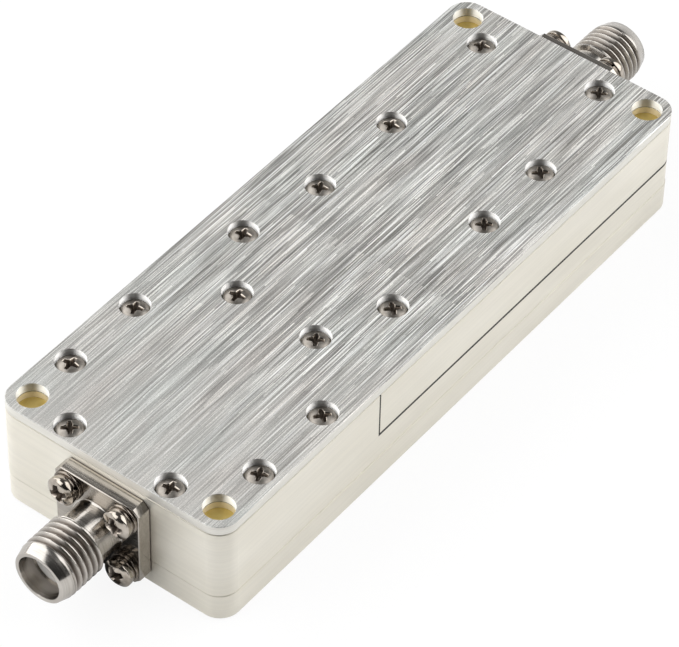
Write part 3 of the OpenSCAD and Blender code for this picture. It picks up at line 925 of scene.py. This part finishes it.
def jack_shell(side):
    stand = jack_stand(side)
    verts, faces = [], []
    rings = jack_rings()
    for radius, height in rings:
        for i in range(jack_sides):
            angle = math.tau * i / jack_sides
            r = thread_radius(height, angle) if radius is None else radius
            verts.append(on_face((r * math.cos(angle), r * math.sin(angle), height), *stand))
    for ring in range(len(rings)):
        below, above = ring * jack_sides, (ring + 1) % len(rings) * jack_sides
        for i in range(jack_sides):
            j = (i + 1) % jack_sides
            faces.append((below + i, below + j, above + j, above + i))

    def square(inset):
        h, k = flange_half - inset, flange_half - flange_cut - inset * (math.sqrt(2) - 1)
        return [(h, -k), (h, k), (k, h), (-k, h), (-h, k), (-h, -k), (-k, -h), (k, -h)]

    half_pitch = flange_hole_pitch / 2
    corners = [(sx * half_pitch, sy * half_pitch) for sx in (-1, 1) for sy in (-1, 1)]
    holes = [hole_at((0, 0), flange_bore_r)]
    holes += [hole_at(corner, flange_hole_r) for corner in corners]
    # Painted shade on each vertex: deep in the thread's valleys, light on the mouth's bore
    painted_shade = [0.0] * len(verts)
    for ring, (radius, height) in enumerate(rings):
        for i in range(jack_sides):
            place = ring * jack_sides + i
            if radius is None:
                depth = thread_r - thread_radius(height, math.tau * i / jack_sides)
                painted_shade[place] = share_of(depth, thread_depth)
            elif (radius < mouth_r + tolerance
                  and mouth_floor - tolerance < height < jack_reach - mouth_break):
                painted_shade[place] = mouth_painted_shade
    profile = edge_profile(0, flange_t, flange_break, flange_break)
    # An extra ring on the flange's walls at the top of its band of painted shade
    profile.insert(break_steps + 1, (0, joint_painted_shade))
    sheet_verts, sheet_faces = cut_sheet(square, holes, profile)
    first = len(verts)
    verts += [on_face(v, *stand) for v in sheet_verts]
    # The flange's back edge band takes full painted shade
    painted_shade += [float(v[2] < joint_painted_shade - tolerance) for v in sheet_verts]
    faces += [tuple(first + i for i in face) for face in sheet_faces]
    shell = solid_piece(side + "_shell", verts, faces, jack_steel, smooth_deg=42, flat_caps=True,
                        painted_shade=painted_shade)
    shell.data.materials.append(flange_steel)
    face_x, axis_z, _ = stand
    for polygon in shell.data.polygons:
        spot = polygon.center
        off_axis = math.hypot(spot.y, spot.z - axis_z)
        on_flange = abs(spot.x - face_x) < flange_t + tolerance and off_axis > neck_r
        polygon.material_index = int(on_flange)
    return shell


for side in ("input", "output"):
    shell = jack_shell(side)
    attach(shell, "root")
    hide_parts(side + "_jack_shell")


# Mouths. Inside each a white dielectric sleeve holds the gold plated socket of the centre contact.
# The sleeve is turned from plain rod, and the socket is slit to grip its pin.
# The white sleeve is painted grey, as painted shade from the deep mouth round it
shaded_dielectric_white = clouded("shaded_dielectric_white", (700, 700, 700), (0.56, 0.54, 0.51),
                           (0.66, 0.64, 0.61), metallic=0, rough=0.45)
contact_gold = clouded("contact_gold", (1200, 1200, 1200), (0.72, 0.48, 0.16), (0.83, 0.60, 0.24),
                       metallic=1.0, rough=0.25)
for side in ("input", "output"):
    finish_node(side + "_dielectric", shaded_dielectric_white)
    finish_node(side + "_contact", contact_gold)


# Flange screws. Four domed screws hold each flange, each over a lock washer and a flat washer.
# The flat ones are punched from sheet, and the lock washers are coiled from square wire.
flange_head_r = 1.475 * MM
flange_edge_h = 0.5 * MM
flange_dome_h = 0.48 * MM
flange_cross = (0.98 * MM, 0.3 * MM)
flat_washer_r = 1.55 * MM
flat_washer_t = 0.3 * MM
lock_washer_r = 1.4 * MM
lock_washer_t = 0.4 * MM
washer_hole_r = 0.84 * MM
washer_break = 0.05 * MM
ring_sides = 48
split_sides = 56
split_gap = 12
split_slant = 10
screw_grip = 3 * MM


def flat_ring(name, outer_r, inner_r, thick):
    b = washer_break
    outline = [(inner_r + b, 0), (outer_r - b, 0), (outer_r, b), (outer_r, thick - b),
               (outer_r - b, thick), (inner_r + b, thick), (inner_r, thick - b), (inner_r, b)]
    verts, faces = revolved(outline + outline[:1], ring_sides)
    return solid_piece(name, verts, faces, washer_steel, smooth_deg=50)


def split_ring(name, outer_r, inner_r, thick):
    """Lock washer: square wire coiled once, with its two ends sprung apart by a slanted gap."""
    verts, faces = [], []
    b = washer_break
    section = [(inner_r, b), (inner_r + b, 0), (outer_r - b, 0), (outer_r, b),
               (outer_r, thick - b), (outer_r - b, thick),
               (inner_r + b, thick), (inner_r, thick - b)]
    for i in range(split_sides + 1):
        share = i / split_sides
        for r, h in section:
            lean = split_slant * (h / thick - 0.5)
            angle = math.radians(split_gap / 2 + lean + (360 - split_gap) * share)
            verts.append((r * math.cos(angle), r * math.sin(angle), h))
    n = len(section)
    for i in range(split_sides):
        for j in range(n):
            k = (j + 1) % n
            faces.append((i * n + j, i * n + k, (i + 1) * n + k, (i + 1) * n + j))
    faces += [tuple(range(n))[::-1], tuple(range(split_sides * n, split_sides * n + n))]
    return solid_piece(name, verts, faces, washer_steel, smooth_deg=50)


# The washer sets take the steel darkened with painted shade
for side in ("input", "output"):
    face_x, axis_z, outward = jack_stand(side)
    lean = (0, math.pi / 2 * outward, 0)
    lock_seat = flange_t + flat_washer_t
    head_seat = lock_seat + lock_washer_t
    flat_one = flat_ring(side + "_flat_one", flat_washer_r, washer_hole_r, flat_washer_t)
    lock_one = split_ring(side + "_lock_one", lock_washer_r, washer_hole_r, lock_washer_t)
    screw_one = headed_screw(side + "_screw_one", flange_head_r, flange_edge_h, flange_dome_h,
                             screw_shank_r, head_seat + screw_grip, flange_cross, bright_steel)
    for label, finish, pattern, raised, turns in (
            ("flat_washers", washer_steel, flat_one, flange_t, (0, 0, 0, 0)),
            ("lock_washers", washer_steel, lock_one, lock_seat, (40, 200, 120, 300)),
            ("screws", bright_steel, screw_one, head_seat, (35, 10, 55, 20))):
        node = side + "_" + label
        places = [(face_x + outward * raised, centre.y, centre.z) for centre, _ in islands(node)]
        made = set_pieces(side + "_" + label + "_set", pattern, places, turns, finish, lean)
        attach(made, "root")
        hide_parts(node)


# Circuit. Two thin laminates with gold plated lines, a bent strap and two solder saddles.
# They are sealed inside, soldered together and screened by the housing, so none of them shows.
laminate = clouded("laminate", (2500, 2500, 2500), (0.62, 0.58, 0.46), (0.70, 0.67, 0.56),
                   metallic=0, rough=0.6)
solder_grey = clouded("solder_grey", (2500, 2500, 2500), (0.35, 0.35, 0.36), (0.5, 0.5, 0.5),
                      metallic=0.9, rough=0.45)
for side in ("input", "output"):
    finish_node(side + "_board", laminate)
    finish_node(side + "_line", contact_gold)
    finish_node(side + "_solder", solder_grey)
finish_node("board_strap", contact_gold)
